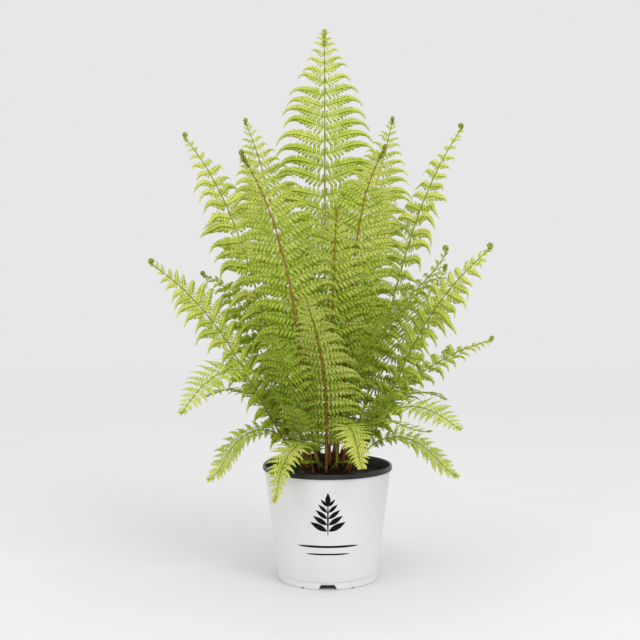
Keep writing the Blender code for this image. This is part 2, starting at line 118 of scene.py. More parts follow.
# Crown, and its stubs as (direction, distance in mm, tilt, share of the full length)
CROWN_RADIUS = 60 * MM
CROWN_HEIGHT = 20 * MM
CROWN_RINGS = 18
CROWN_STEPS = 72
CROWN_FLAKES = 300
STUBS = ((14, 22, 22, 1.0), (338, 20, 26, 0.8), (25, 8, 12, 0.62), (200, 22, 20, 0.55), (120, 24, 22, 0.5))
STUB_LENGTH = 44 * MM
STUB_RADIUS = 5 * MM
STUB_TAPER = 0.42
STUB_RINGS = 10
STUB_SIDES = 14
STUB_SCALES = 60

# Blades, whose camber is a share of the width
BLADE_THICKNESS = 0.32 * MM
BLADE_CAMBER = 0.07
LARGE_PINNULE = 6.5 * MM

# Fronds, as in the CAD source, with as many pairs of pinnae as the plant has
STALK_LIFT = 1.2 * MM
MIDRIB_HALF = 2.7 * MM
MIDRIB_TIP_HALF = 0.8 * MM
FULL_FROND = 0.9
PINNA_ANGLE_DEG = 72
PINNA_LIFT = 0.12
NODE_CROWDING = 1.35
YOUNG_PINNA = 10 * MM
SHORTEST_PINNA = 3 * MM
MOST_PINNULES = 15
LAST_NODE = 0.992
COURSE_STEPS = 240
PATH_STEPS = 24
MIDRIB_RINGS = 56
COSTA_RINGS = 9
LAST_SHARE = 0.985
WEB = 0.05
MERGED_WEB = 0.16
# The midrib's grooved section, as (angle in degrees, share of the half-width)
GROOVED = (
    (90, 0.62), (128, 1.02), *((angle, 1.0) for angle in (162, 198, 234, 270, 306, 342, 18)), (52, 1.02)
)
COIL_STEPS = 30
COIL_TURNS = 1.6
COIL_RADIUS = 6 * MM
COIL_END_RADIUS = 1.2 * MM
FULL_COIL_FROND = 0.5
# Reach in mm of the young pinnae below a frond's tip, and how brown they are
TUFTS = {"back_centre": (36, 0.25), "mid_left": (30, 0.4), "mid_right": (26, 0.4), "centre": (20, 0.35)}
TUFT = (12, 0.05)
# Fronds widest near the foot, with pinnae turned forward, wavy pinnae, or merged pinnules
TRIANGULAR = ("front_left_droop", "front_right_droop", "front_centre")
SPREADING = ("front_centre",)
RAGGED = ("left_upright", "right_upright", "right_outer", "right_side", "left_inner", "right_slender")
MERGED = (*RAGGED, "left_outer")

# Plain materials: colour stops, their noise, then roughness, relief and specular as for Nodes.cover
PLAIN = {
    "pot_white": (
        ((0.0, (0.60,) * 3), (1.0, (0.64,) * 3)), (9,), (0.33, 0.46, 26, 4, 0.65),
        (0.06, 0.2 * MM, 820, 2), 0.5,
    ),
    "pot_black": (
        ((0.0, (0.008,) * 3), (1.0, (0.018, 0.018, 0.016))), (40,), (0.32, 0.5, 70),
        (0.12, 0.2 * MM, 900, 2), 0.32,
    ),
    "print_ink": (
        ((0.0, (0.003,) * 3), (1.0, (0.006,) * 3)), (300,), (0.45, 0.6, 60), (0.05, 0.1 * MM, 900, 2), 0.08,
    ),
    "soil": (
        ((0.0, (0.004, 0.003, 0.002)), (0.6, (0.016, 0.010, 0.006)), (1.0, (0.055, 0.034, 0.019))),
        (260, 6, 0.7), (0.8, 0.97, 90), (0.9, 1.2 * MM, 650, 6, 0.7), 0.5,
    ),
    "scales": (
        ((0.0, (0.008, 0.005, 0.003)), (0.55, (0.026, 0.014, 0.007)), (1.0, (0.085, 0.045, 0.018))),
        (160,), (0.6, 0.9, 400, 2), (0.5, 0.3 * MM, 1200, 3, 0.6, (1, 1, 0.3)), 0.15,
    ),
}

# Studio
WORLD_LIGHT = 1.22
BACKDROP = 0.80
LIT_POINT = (0, 0, 0.6)
LIGHTS = (("key", (1.6, -2.4, 3.0), 2.0, 55), ("fill", (-2.2, -2.0, 1.6), 2.0, 14))
FLOOR_RADII = (0, 0.5, 1.5, 4, 8)
FLOOR_FADE = (1.2, 6.5)
FLOOR_STEPS = 64
CAMERA_PLACE = (-0.016, -2.236, 0.6254)
CAMERA_DROP_DEG = 1.931
CAMERA_LENS = 59.06
CAMERA_SENSOR = 36

FIELDS = "name root azimuth sway leans length stalk half pairs roll droop tone rust curled"
Frond = namedtuple("Frond", FIELDS, defaults=(False,))
FRONDS = [Frond(*row) for row in (
    ("back_centre", (16, 95), 95, -3, (4, 6, 3, 6), 945, 185, 122, 27, 0, 1.9, 0.56, 0.75),
    ("centre", (22, 280), 276, 0, (10, 7, 17, 25), 550, 80, 100, 21, 0, 1.7, 0.52, 1.0, True),
    ("front_centre", (53, 267), 263, -20, (3, 7, 28, 32), 400, 62, 76, 22, 0, 1.2, 0.74, 0.95),
    ("mid_left", (30, 230), 234, -8, (18, 12, 20, 44), 685, 100, 112, 25, -30, 1.7, 0.6, 1.0, True),
    ("mid_right", (30, 312), 308, 7, (2, 8, 9, 43), 680, 100, 115, 25, 30, 1.7, 0.6, 1.0, True),
    ("left_outer", (46, 196), 198, 0, (44, 29, 37, 57), 550, 80, 98, 20, 40, 1.6, 0.68, 0.5, True),
    ("right_outer", (46, 348), 343, 0, (45, 23, 33, 50), 560, 80, 94, 20, -40, 1.6, 0.72, 0.3, True),
    ("left_upright", (36, 176), 174, 0, (21, 16, 20, 41), 760, 115, 95, 23, 40, 1.7, 0.68, 0.3, True),
    ("right_upright", (38, 3), 6, 0, (19, 15, 18, 36), 770, 130, 84, 23, -25, 1.8, 0.74, 0.2, True),
    ("back_left_tall", (26, 135), 132, 7, (20, 14, 15, 32), 795, 130, 105, 25, 25, 1.7, 0.6, 0.4, True),
    ("back_right_tall", (25, 50), 52, -1, (16, 10, 20, 21), 795, 130, 105, 25, -25, 1.7, 0.62, 0.4, True),
    ("right_middle", (36, 328), 322, 4, (13, 17, 46, 29), 540, 85, 80, 19, 0, 1.5, 0.5, 0.4, True),
    ("left_inner", (34, 156), 158, 2, (21, 28, 27, 78), 495, 75, 72, 19, 30, 1.5, 0.4, 0.4, True),
    ("right_inner", (36, 28), 24, 2, (22, 29, 36, 35), 500, 75, 76, 19, -30, 1.5, 0.42, 0.4, True),
    ("left_middle", (42, 226), 228, 5, (41, 16, 25, 50), 325, 45, 66, 16, -20, 1.4, 0.34, 0.5),
    ("right_side", (48, 14), 8, 1, (33, 38, 58, 76), 430, 70, 56, 18, -20, 1.5, 0.7, 0.3, True),
    ("left_low", (46, 212), 210, 28, (42, 31, 93, 129), 485, 85, 56, 22, 20, 0.7, 0.58, 0.1),
    ("right_low", (50, 332), 326, -20, (33, 45, 91, 111), 370, 60, 50, 19, -20, 0.7, 0.6, 0.1),
    ("left_lowest", (52, 184), 186, 14, (33, 61, 138, 115), 290, 65, 50, 19, 20, 0.6, 0.62, 0.05),
    ("right_lowest", (55, 359), 356, -8, (30, 69, 127, 113), 280, 65, 50, 19, -20, 0.6, 0.66, 0.05),
    ("front_left_droop", (42, 248), 246, -25, (31, 69, 143, 158), 250, 50, 50, 20, 0, 0.5, 0.72, 0.05),
    ("front_right_droop", (40, 298), 290, -4, (7, 41, 122, 131), 255, 65, 48, 22, 0, 0.5, 0.74, 0.05),
    ("right_slender", (53, 314), 312, -2, (34, 44, 95, 69), 305, 65, 32, 15, 0, 0.6, 0.6, 0.3),
    ("rear_left", (40, 112), 114, 0, (17, 21, 32, 46), 560, 65, 92, 21, 0, 1.5, 0.34, 0.4),
    ("rear_right", (40, 74), 68, 0, (18, 22, 34, 48), 535, 65, 90, 21, 0, 1.5, 0.34, 0.4),
    ("rear_low_left", (50, 144), 142, 0, (32, 48, 82, 114), 370, 48, 60, 18, 0, 0.9, 0.34, 0.4),
    ("rear_low_right", (50, 44), 38, 0, (32, 50, 84, 114), 370, 48, 60, 18, 0, 0.9, 0.34, 0.4),
    ("rear_low", (52, 92), 90, 0, (34, 54, 92, 126), 268, 42, 56, 16, 0, 0.8, 0.3, 0.4),
    ("young_left", (55, 238), 240, 0, (18, 24, 44, 74), 200, 45, 40, 13, 0, 0.9, 0.4, 0.5),
    ("young_right", (54, 324), 320, 0, (24, 26, 38, 64), 225, 45, 50, 13, 0, 0.9, 0.4, 0.5),
    ("young_far_left", (50, 168), 170, 0, (28, 30, 40, 62), 260, 55, 54, 14, 15, 0.9, 0.4, 0.5),
    ("young_far_right", (50, 22), 14, 0, (28, 30, 42, 62), 260, 55, 54, 14, -15, 0.9, 0.4, 0.5),
    ("sprout_left", (44, 262), 232, 0, (30, 62, 80, 100), 75, 22, 22, 9, 0, 0.4, 0.15, 0.2),
    ("sprout_right", (44, 280), 312, 0, (32, 60, 80, 96), 70, 22, 20, 9, 0, 0.4, 0.15, 0.2),
)]


# Meshes


class Parts:
    """Points, faces, materials and point values of one piece, collected part by part."""

    VALUES = ("tone", "rust", "rib", "under")

    def __init__(self):
        self.points = []
        self.faces = []
        self.slots = []
        self.values = {name: [] for name in self.VALUES}
        self.count = 0

    def add(self, points, faces, slot=0, **values):
        """Points as (n, 3); faces as a list of index arrays, one array for each number of corners."""
        points = np.asarray(points, float).reshape(-1, 3)
        self.points.append(points)
        for group in faces:
            group = np.asarray(group, int)
            self.faces.append(group + self.count)
            self.slots.append(np.full(len(group), slot))
        for name in self.VALUES:
            self.values[name].append(np.broadcast_to(values.get(name, 0.0), len(points)))
        self.count += len(points)

    def piece(self, name, materials, smooth=True):
        mesh = bpy.data.meshes.new(name)
        mesh.vertices.add(self.count)
        mesh.vertices.foreach_set("co", np.concatenate(self.points).ravel())
        corners = np.concatenate([group.ravel() for group in self.faces])
        sizes = np.concatenate([np.full(len(group), group.shape[1]) for group in self.faces])
        mesh.loops.add(len(corners))
        mesh.loops.foreach_set("vertex_index", corners.astype(np.int32))
        mesh.polygons.add(len(sizes))
        mesh.polygons.foreach_set("loop_start", (np.cumsum(sizes) - sizes).astype(np.int32))
        mesh.polygons.foreach_set("material_index", np.concatenate(self.slots).astype(np.int32))
        for value in self.VALUES:
            attribute = mesh.attributes.new(value, "FLOAT", "POINT")
            attribute.data.foreach_set("value", np.concatenate(self.values[value]).astype(np.float32))
        mesh.update(calc_edges=True)
        mesh.polygons.foreach_set("use_smooth", np.full(len(sizes), smooth))
        for material in materials:
            mesh.materials.append(material)
        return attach(placed(name, mesh), "root")


def placed(name, data):
    """A new object in the scene."""
    thing = bpy.data.objects.new(name, data)
    bpy.context.scene.collection.objects.link(thing)
    return thing


def placed_mesh(name, points, faces):
    mesh = bpy.data.meshes.new(name)
    mesh.from_pydata(points, [], faces)
    mesh.update()
    return placed(name, mesh)


def unit(vectors):
    return vectors / np.linalg.norm(vectors, axis=-1, keepdims=True)


def round_axis(angles, across, upper):
    return np.cos(angles)[:, None] * across + np.sin(angles)[:, None] * upper


def tube_faces(rings, sides):
    """Quads along a closed tube of rings, and one polygon at each end."""
    corner = np.arange(sides)
    after = (corner + 1) % sides
    low = np.arange(rings - 1)[:, None] * sides
    quads = np.stack([low + corner, low + after, low + sides + after, low + sides + corner], -1)
    ends = np.stack([corner[::-1], (rings - 1) * sides + corner])
    return [quads.reshape(-1, 4), ends]


def tube_points(centres, across, upper, section):
    """Rings of a tube; section holds (across, upper) offsets, one set or one set for each ring."""
    section = np.broadcast_to(section, (len(centres), *np.shape(section)[-2:]))
    spread = section[..., :1] * across[:, None] + section[..., 1:] * upper[:, None]
    return centres[:, None] + spread


def turned(outline, steps):
    """Points and quads of an outline of (radius, height) turned about Z; its ends may be on the axis."""
    points = []
    rings = []
    angles = [TURN * step / steps for step in range(steps)]
    for radius, height in outline:
        first = len(points)
        rings.append([first + step if radius else first for step in range(steps)])
        points += [(radius * cos(a), radius * sin(a), height) for a in (angles if radius else (0,))]
    faces = []
    pairs = list(zip(rings, rings[1:]))
    if outline[0][0] or outline[-1][0]:
        pairs.append((rings[-1], rings[0]))
    for low, high in pairs:
        for step in range(steps):
            after = (step + 1) % steps
            faces.append(list(dict.fromkeys((low[step], low[after], high[after], high[step]))))
    return points, faces


def arc(centre, radius, start_deg, end_deg, steps):
    angles = np.radians(np.linspace(start_deg, end_deg, steps + 1))
    return [(centre[0] + radius * cos(a), centre[1] + radius * sin(a)) for a in angles]


# Materials


class Nodes:
    """Short calls for a material's node tree."""

    def __init__(self, name):
        self.material = bpy.data.materials.new(name)
        self.material.use_nodes = True
        self.tree = self.material.node_tree
        self.shader = self.tree.nodes["Principled BSDF"]
        self.output = self.tree.nodes["Material Output"]

    def feed(self, socket, value):
        """Gives a socket a number, a colour or another node's output."""
        if isinstance(value, tuple):
            socket.default_value = (*value, 1)
        elif isinstance(value, (int, float)):
            socket.default_value = value
        else:
            self.tree.links.new(value, socket)

    def new(self, kind, inputs=(), **settings):
        node = self.tree.nodes.new(kind)
        for name, value in settings.items():
            setattr(node, name, value)
        for name, value in dict(inputs).items():
            self.feed(node.inputs[name], value)
        return node

    def attribute(self, name):
        return self.new("ShaderNodeAttribute", attribute_name=name).outputs["Fac"]

    def place(self):
        return self.new("ShaderNodeTexCoord").outputs["Object"]

    def noise(self, scale, detail=3, roughness=0.55, stretch=(1, 1, 1)):
        """Noise in the object's own metres, as a factor about 0.5."""
        mapping = self.new("ShaderNodeMapping", {"Vector": self.place()})
        mapping.inputs["Scale"].default_value = stretch
        place = mapping.outputs["Vector"]
        inputs = {"Vector": place, "Scale": scale, "Detail": detail, "Roughness": roughness}
        return self.new("ShaderNodeTexNoise", inputs).outputs["Fac"]

    def math(self, operation, first, second, clamp=False):
        node = self.new("ShaderNodeMath", {0: first, 1: second}, operation=operation, use_clamp=clamp)
        return node.outputs["Value"]

    def map(self, value, start, end, low, high, **settings):
        inputs = {"Value": value, "From Min": start, "From Max": end, "To Min": low, "To Max": high}
        return self.new("ShaderNodeMapRange", inputs, **settings).outputs["Result"]

    def span(self, low, high, *noise_settings):
        """Noise whose usual range, 0.3 to 0.7, is spread from low to high."""
        return self.map(self.noise(*noise_settings), 0.3, 0.7, low, high)

    def ramp(self, factor, *stops):
        node = self.new("ShaderNodeValToRGB", {"Fac": factor})
        elements = node.color_ramp.elements
        while len(elements) < len(stops):
            elements.new(0.5)
        for element, (place, colour) in zip(elements, stops):
            element.position = place
            element.color = (*colour, 1)
        return node.outputs["Color"]

    def mix(self, factor, first, second):
        """Two colours, which are inputs 6 and 7 of this node."""
        return self.new("ShaderNodeMix", {0: factor, 6: first, 7: second}, data_type="RGBA").outputs[2]

    def show_mixed(self, factor, other):
        """The material shows its shader, and the other one by the factor."""
        shaders = {1: self.shader.outputs["BSDF"], 2: other.outputs["BSDF"]}
        node = self.new("ShaderNodeMixShader", {0: factor, **shaders})
        self.feed(self.output.inputs["Surface"], node.outputs["Shader"])

    def cover(self, colour, rough, relief, specular=0.5):
        """Colour, roughness as a number or (low, high, noise), relief as (strength, depth, noise)."""
        rough = self.span(*rough) if isinstance(rough, tuple) else rough
        strength, depth, *noise_settings = relief
        inputs = {"Strength": strength, "Distance": depth, "Height": self.noise(*noise_settings)}
        normal = self.new("ShaderNodeBump", inputs).outputs["Normal"]
        inputs = {"Base Color": colour, "Roughness": rough, "Specular IOR Level": specular, "Normal": normal}
        for name, value in inputs.items():
            self.feed(self.shader.inputs[name], value)
        return normal


def leaf_material():
    """Thin blade: deep to yellow green by tone, a paler rib and underside, and light through it."""
    n = Nodes("leaf")
    patchy = n.math("ADD", n.attribute("tone"), n.span(-0.14, 0.14, 38, 2))
    tone = n.math("ADD", patchy, n.span(-0.07, 0.07, 520), clamp=True)
    green = n.ramp(tone, (0.0, (0.07, 0.16, 0.001)), (0.5, (0.42, 0.56, 0.014)), (1.0, (0.86, 0.88, 0.24)))
    veined = n.mix(n.math("MULTIPLY", n.attribute("rib"), 0.35), green, (0.52, 0.60, 0.10))
    pale = n.mix(n.math("MULTIPLY", n.attribute("under"), 0.45), veined, (0.46, 0.56, 0.13))
    brown = n.mix(n.attribute("rust"), pale, (0.34, 0.27, 0.04))
    normal = n.cover(brown, (0.5, 0.7, 240, 2), (0.35, 0.2 * MM, 900, 3, 0.6), 0.22)
    glow = n.mix(0.4, brown, (0.72, 0.82, 0.02))
    n.show_mixed(0.4, n.new("ShaderNodeBsdfTranslucent", {"Color": glow, "Normal": normal}))
    return n.material


def stalk_material():
    """Green above and reddish brown below, with long streaks and darker flecks."""
    n = Nodes("stalk")
    streaks = n.span(-0.2, 0.2, 420, 3, 0.6, (1, 1, 0.12))
    colour = n.ramp(
        n.math("ADD", n.attribute("rust"), streaks, clamp=True),
        (0.0, (0.28, 0.38, 0.025)), (0.4, (0.20, 0.16, 0.02)),
        (0.75, (0.34, 0.14, 0.024)), (1.0, (0.06, 0.036, 0.009)),
    )
    flecked = n.mix(n.span(0.0, 0.5, 1500, 2), colour, (0.10, 0.06, 0.02))
    n.cover(flecked, (0.45, 0.65, 300, 2), (0.4, 0.3 * MM, 700, 3, 0.6, (1, 1, 0.2)), 0.2)
    return n.material


def plain_material(name):
    stops, patches, *rest = PLAIN[name]
    n = Nodes(name)
    n.cover(n.ramp(n.span(0.0, 1.0, *patches), *stops), *rest)
    return n.material


def floor_material():
    """Matt white paper that fades out far from the pot."""
    n = Nodes("studio_floor")
    whites = ((0.0, (0.585,) * 3), (1.0, (0.595,) * 3))
    n.cover(n.ramp(n.span(0.0, 1.0, 3, 2), *whites), 0.9, (0.02, 0.1 * MM, 900, 2))
    reach = n.new("ShaderNodeVectorMath", {0: n.place()}, operation="LENGTH")
    fade = n.map(reach.outputs["Value"], *FLOOR_FADE, 0, 1, interpolation_type="SMOOTHSTEP")
    n.show_mixed(fade, n.new("ShaderNodeBsdfTransparent"))
    return n.material


# Pot


def wall_radius(height):
    share = (height - FOOT_HEIGHT) / (LIP_BOTTOM - FOOT_HEIGHT)
    return WALL_BOTTOM_RADIUS + share * (WALL_TOP_RADIUS - WALL_BOTTOM_RADIUS)


def inner_radius(height):
    return wall_radius(height) - WALL


def pot_outline():
    """The pot's section from the floor's underside out, up and over the lip, and down the inside."""
    foot_inside = FOOT_RADIUS - FOOT_WIDTH
    lip_under = (RIM_RADIUS - LIP_UNDER_ROUND, LIP_BOTTOM + LIP_UNDER_ROUND)
    inside_top = POT_HEIGHT - LIP_ROUND
    outside = np.linspace(FOOT_HEIGHT + 6 * MM, LIP_BOTTOM - 3 * MM, 8)
    inside = np.linspace(LIP_BOTTOM, FLOOR_TOP + 4 * MM, 7)
    return [
        (0, FLOOR_BOTTOM),
        (FLOOR_HOLE_CIRCLE, FLOOR_BOTTOM),
        (foot_inside - 3 * MM, FLOOR_BOTTOM),
        (foot_inside - 1.5 * MM, FLOOR_BOTTOM - 1 * MM),
        *arc((foot_inside + 0.5 * MM, FOOT_INNER_ROUND), FOOT_INNER_ROUND, 180, 270, 4),
        *arc((FOOT_RADIUS - FOOT_OUTER_ROUND, FOOT_OUTER_ROUND), FOOT_OUTER_ROUND, 270, 360, 5),
        (FOOT_RADIUS, 0.6 * FOOT_HEIGHT),
        (FOOT_RADIUS, FOOT_HEIGHT - 0.9 * MM),
        *arc((FOOT_RADIUS + STEP_ROUND, FOOT_HEIGHT - STEP_ROUND), STEP_ROUND, 170, 100, 3),
        *arc((wall_radius(FOOT_HEIGHT) - STEP_ROUND, FOOT_HEIGHT + STEP_ROUND), STEP_ROUND, -80, 0, 3),
        *((wall_radius(height), height) for height in outside),
        (WALL_TOP_RADIUS, LIP_BOTTOM),
        *arc(lip_under, LIP_UNDER_ROUND, -90, 0, 4),
        (RIM_RADIUS, LIP_BOTTOM + 0.5 * LIP_HEIGHT),
        *arc((RIM_RADIUS - LIP_ROUND, inside_top), LIP_ROUND, 0, 90, 7),
        *arc((inner_radius(inside_top) + LIP_ROUND, inside_top), LIP_ROUND, 95, 180, 6),
        *((inner_radius(height), height) for height in inside),
        *arc((inner_radius(FLOOR_TOP) - FLOOR_ROUND, FLOOR_TOP + FLOOR_ROUND), FLOOR_ROUND, 0, -90, 4),
        (FLOOR_HOLE_CIRCLE, FLOOR_TOP),
        (0, FLOOR_TOP),
    ]


def radial_cutter(angle_deg, stations, bottom_width, top_width, height):
    """A channel through the foot ring. Each station is (radius, how much wider and higher it is)."""
    points = []
    for radius, spread in stations:
        low, high = bottom_width / 2 + spread, top_width / 2 + spread
        points += [(radius, -low, -2 * MM), (radius, low, -2 * MM)]
        points += [(radius, high, height + spread), (radius, -high, height + spread)]
    sides, ends = tube_faces(len(stations), 4)
    thing = placed_mesh("cutter", points, [*sides.tolist(), *ends.tolist()])
    thing.rotation_euler = (0, 0, radians(angle_deg))
    return thing


def hole_cutter(angle_deg):
    low, high = FLOOR_BOTTOM - 4 * MM, FLOOR_BOTTOM + 6 * MM
    outline = ((0, low), (FLOOR_HOLE_RADIUS, low), (FLOOR_HOLE_RADIUS, high), (0, high))
    thing = placed_mesh("cutter", *turned(outline, 32))
    angle = radians(angle_deg)
    thing.location = (FLOOR_HOLE_CIRCLE * cos(angle), FLOOR_HOLE_CIRCLE * sin(angle), 0)
    return thing


def pot_cutters():
    inside = (FOOT_RADIUS - FOOT_WIDTH - CUT_PAST, 0)
    flared = (FOOT_RADIUS + 2 * NOTCH_CHAMFER, 3 * NOTCH_CHAMFER)
    chamfered = (inside, (FOOT_RADIUS - NOTCH_CHAMFER, 0), flared)
    straight = (inside, (FOOT_RADIUS + CUT_PAST, 0))
    cutters = []
    for index in range(NOTCHES):
        angle = FRONT_DEG + 360 / NOTCHES * index
        cutters.append(radial_cutter(angle, chamfered, *NOTCH_WIDTHS, NOTCH_HEIGHT))
        for turn in (angle - SLOT_OFFSET_DEG, angle + SLOT_OFFSET_DEG):
            cutters.append(radial_cutter(turn, straight, SLOT_WIDTH, SLOT_WIDTH, SLOT_HEIGHT))
    for index in range(FLOOR_HOLES):
        cutters.append(hole_cutter(FLOOR_HOLE_FIRST_DEG + 360 / FLOOR_HOLES * index))
    return cutters


def cut(thing, cutters):
    """The thing's mesh with every cutter taken away, and the cutters removed."""
    for other in cutters:
        step = thing.modifiers.new("cut", "BOOLEAN")
        step.operation = "DIFFERENCE"
        step.solver = "EXACT"
        step.object = other
    bpy.context.view_layer.update()
    evaluated = thing.evaluated_get(bpy.context.evaluated_depsgraph_get())
    mesh = bpy.data.meshes.new_from_object(evaluated)
    thing.modifiers.clear()
    thing.data = mesh
    for other in cutters:
        bpy.data.objects.remove(other)


def make_pot(white, black):
    pot = placed_mesh("pot_shell", *turned(pot_outline(), POT_STEPS))
    cut(pot, pot_cutters())
    pot.data.materials.clear()
    for material in (white, black):
        pot.data.materials.append(material)
    for face in pot.data.polygons:
        middle = face.center
        depth = 1.1 * MM if middle.z > FOOT_HEIGHT else 5 * MM
        outside = hypot(middle.x, middle.y) > wall_radius(middle.z) - depth
        face.material_index = 0 if outside and middle.z < LIP_BOTTOM - 0.5 * MM else 1
    pot.data.shade_smooth()
    pot.data.set_sharp_from_angle(angle=radians(POT_SHARP_DEG))
    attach(pot, "root")
    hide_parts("pot")


# Print on the pot


def on_wall(across, height, lift):
    """A point on the front of the wall, from its distance round the wall and its height."""
    radius = wall_radius(height)
    angle = radians(FRONT_DEG) + across / radius
    return ((radius + lift) * cos(angle), (radius + lift) * sin(angle), height)


def film(parts, start, angle, shares, length, half):
    """A closed film on the wall about a straight line, from its half-widths at shares of its length.

    Its places are (distance round the wall, height).
    """
    along = np.array([cos(angle), sin(angle)])
    side = np.array([sin(angle), -cos(angle)])
    middle = np.array(start) + length * shares * along
    left, right = middle - half * side, middle + half * side
    rows = np.stack([left, (left + right) / 2, right], 1).reshape(-1, 2)
    points = [on_wall(x, z, lift) for lift in (PRINT_LIFT, -PRINT_SINK) for x, z in rows]
    under = len(rows)
    last = under - 3
    faces = []
    for a in range(0, last, 3):
        for b in (a, a + 1):
            faces.append((b, b + 1, b + 4, b + 3))
            faces.append((under + b, under + b + 3, under + b + 4, under + b + 1))
        faces.append((a, a + 3, under + a + 3, under + a))
        faces.append((a + 2, under + a + 2, under + a + 5, a + 5))
    faces += [(a, under + a, under + a + 1, a + 1) for a in (0, 1)]
    faces += [(a, a + 1, under + a + 1, under + a) for a in (last, last + 1)]
    parts.add(points, [faces])


def print_leaf(parts, start, angle, length, width):
    """A plain pointed leaf, from its foot out."""
    shares = np.linspace(0, 1, LEAF_STEPS)[:, None]
    film(parts, start, angle, shares, length, width / 2 * np.maximum(0.03, np.sin(np.pi * shares**0.85)))


def print_rule(parts, height, width, thickness):
    """A level rule that thins out at its ends."""
    shares = np.linspace(-1, 1, RULE_STEPS)[:, None]
    film(parts, (0, height), 0, shares, width / 2, thickness / 2 * np.maximum(0.08, 1 - np.abs(shares) ** 6))


def make_print(ink):
    """A sprig of plain leaves over two rules."""
    parts = Parts()
    foot = np.array([0.0, SPRIG_FOOT])
    print_leaf(parts, foot - (0, 6 * MM), pi / 2, SPRIG_HEIGHT, 3.4 * MM)
    print_leaf(parts, foot + (0, 0.70 * SPRIG_HEIGHT), pi / 2, 0.34 * SPRIG_HEIGHT, 11 * MM)
    for index in range(SPRIG_PAIRS):
        share = 0.08 + 0.62 * index / (SPRIG_PAIRS - 1)
        length = (40 - 5 * index) * MM
        for side in (-1, 1):
            angle = pi / 2 - side * radians(62 - 5 * index)
            print_leaf(parts, foot + (side * 1.4 * MM, share * SPRIG_HEIGHT), angle, length, 0.30 * length)
    for rule in RULES:
        print_rule(parts, *rule)
    parts.piece("pot_print", [ink], smooth=False)


# Potting mix and crown


def bumps(point, height, scale):
    return height * noise.fractal(Vector(point) * scale, 0.9, 2.1, 4)


def add_turned(parts, outline, steps, lift):
    """A turned solid, with each point lifted by lift(x, y, z)."""
    points, faces = turned(outline, steps)
    groups = [[face for face in faces if len(face) == count] for count in (4, 3)]
    parts.add([(x, y, z + lift(x, y, z)) for x, y, z in points], groups)


def make_soil(material):
    """The filling with a lumpy top, and crumbs of bark and peat on it."""
    rng = np.random.default_rng(SEED)
    bottom = FLOOR_TOP + 0.6 * MM
    edge = SOIL_TOP - SOIL_EDGE_DROP
    rim = inner_radius(edge) - 1.0 * MM
    outline = [(0, bottom), (inner_radius(bottom) - 4 * MM, bottom), (rim, edge)]
    for index in range(1, SOIL_RINGS):
        outline.append((rim * (1 - index / SOIL_RINGS), edge + SOIL_EDGE_DROP * min(1, index / 3)))
    outline.append((0, SOIL_TOP))
    parts = Parts()

    def lift(x, y, z):
        on_top = z > edge + 0.5 * MM and hypot(x, y) < rim - 1 * MM
        return bumps((x, y, 0), *SOIL_SWELL) + bumps((x, y, 1), *SOIL_LUMP) if on_top else 0

    add_turned(parts, outline, SOIL_STEPS, lift)
    crumb, crumb_faces = crumb_shape()
    for _ in range(CRUMBS):
        distance = (rim - 4 * MM) * sqrt(rng.uniform(0.05, 1))
        angle = rng.uniform(0, TURN)
        size = rng.uniform(*CRUMB_SIZES) * MM * (1.6 if rng.random() < 0.12 else 1)
        stretch = np.array([rng.uniform(*limits) for limits in CRUMB_STRETCHES])
        turn = rng.uniform(0, TURN)
        lean = rng.uniform(-0.5, 0.5)
        rough = rng.uniform(-CRUMB_ROUGHNESS, CRUMB_ROUGHNESS, (len(crumb), 1))
        c, s = cos(turn), sin(turn)
        shape = (crumb * (1 + rough) * stretch * size) @ np.array([[c, s, 0], [-s, c, 0], [0, 0, 1]])
        shape[:, 2] += lean * shape[:, 0]
        x, y = distance * cos(angle), distance * sin(angle)
        top = SOIL_TOP + bumps((x, y, 0), *SOIL_SWELL) + 0.3 * size
        parts.add(shape + (x, y, top), [crumb_faces])
    piece = parts.piece("soil", [material], smooth=False)
    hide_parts("potting_mix")


def crumb_shape():
    """A ball of twenty triangles, which each crumb squashes and roughens."""
    golden = (1 + sqrt(5)) / 2
    points = [spot for a in (-1, 1) for b in (-golden, golden) for spot in ((0, a, b), (a, b, 0), (b, 0, a))]
    points = np.array(points) / hypot(1, golden)
    edge = 2 / hypot(1, golden)
    faces = []
    for i, j, k in combinations(range(len(points)), 3):
        a, b, c = points[[i, j, k]]
        if max(np.linalg.norm(gap) for gap in (a - b, b - c, c - a)) < 1.01 * edge:
            faces.append((i, j, k) if np.cross(b - a, c - a) @ a > 0 else (i, k, j))
    return points, np.array(faces)


def crown_height(distance):
    return SOIL_TOP + CROWN_HEIGHT * sqrt(max(0.0, 1 - (distance / CROWN_RADIUS) ** 2))


